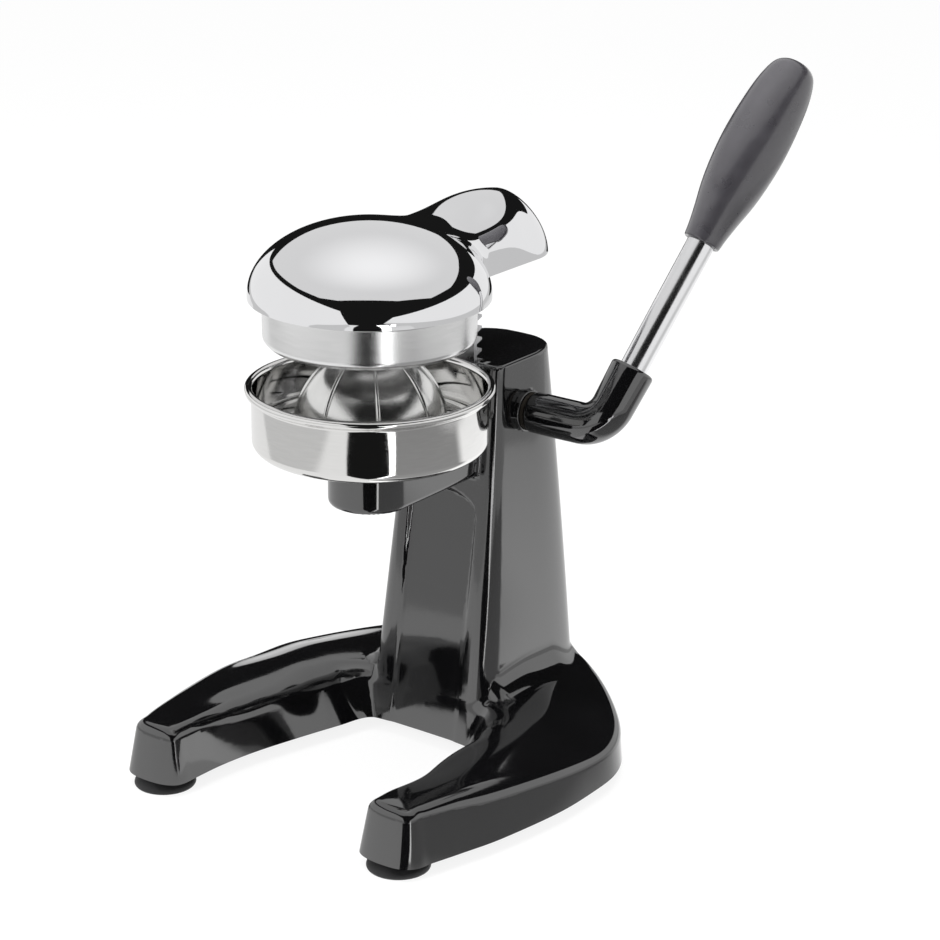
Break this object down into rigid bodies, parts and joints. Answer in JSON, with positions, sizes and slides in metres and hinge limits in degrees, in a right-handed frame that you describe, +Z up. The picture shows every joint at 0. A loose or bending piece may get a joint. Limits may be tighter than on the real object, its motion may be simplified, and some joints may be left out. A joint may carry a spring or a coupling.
{
  "type": "lever citrus juice press",
  "caption": "Lever citrus juice press: black cast stand with two legs, chrome press head on a rack, side lever and a steel bowl with strainer.",
  "frame": {"origin": "centre of the bottom of the bounding box, on the table", "axes": "+Z up, -Y the open front between the legs, +X the side of the lever"},
  "size_m": [0.2128, 0.27, 0.3149],
  "materials": {
    "black_enamel": "glossy black enamel on a casting",
    "polished_steel": "polished stainless sheet",
    "cast_strainer": "bright polished casting",
    "head_chrome": "mirror chrome",
    "cup_aluminium": "satin",
    "tube_chrome": "bright chrome",
    "machined_steel": "machined",
    "bush_bronze": "sintered bronze",
    "foot_rubber": "matt rubber",
    "grip_plastic": "dark grey satin"
  },
  "bodies": {
    "stand": {"stand_casting": "black_enamel", "suction_foot_front_left": "foot_rubber", "suction_foot_front_right": "foot_rubber", "suction_foot_rear_left": "foot_rubber", "suction_foot_rear_right": "foot_rubber", "foot_screw_front_left": "machined_steel", "foot_screw_front_right": "machined_steel", "foot_screw_rear_left": "machined_steel", "foot_screw_rear_right": "machined_steel", "shaft_bush_right": "bush_bronze", "shaft_bush_left": "bush_bronze", "juice_bowl": "polished_steel", "strainer_cone": "cast_strainer"},
    "lever": {"drive_shaft": "machined_steel", "drive_pinion": "machined_steel", "pinion_pin": "machined_steel", "lever_elbow": "black_enamel", "elbow_grub_screw": "machined_steel", "shaft_end_washer": "machined_steel", "shaft_end_screw": "machined_steel", "lever_tube": "tube_chrome", "hand_grip": "grip_plastic"},
    "press": {"press_head": "head_chrome", "press_cup": "cup_aluminium", "rack_bar": "machined_steel", "rack_screw_1": "machined_steel", "rack_screw_2": "machined_steel", "cup_screw_1": "machined_steel", "cup_screw_2": "machined_steel", "cup_screw_3": "machined_steel"}
  },
  "joints": [
    {"name": "lever_turn", "type": "hinge", "parent": "stand", "child": "lever", "pos_m": [-0.00573, 0.02597, 0.1587], "axis": [1, 0, 0], "range_deg": [-60, 120]},
    {"name": "press_slide", "type": "slide", "parent": "stand", "child": "press", "axis": [0, 0, 1], "range_m": [-0.03208, 0.01605]}
  ],
  "couplings": [
    {"joint": "press_slide", "follows": "lever_turn", "m_per_rad": -0.0153}
  ]
}
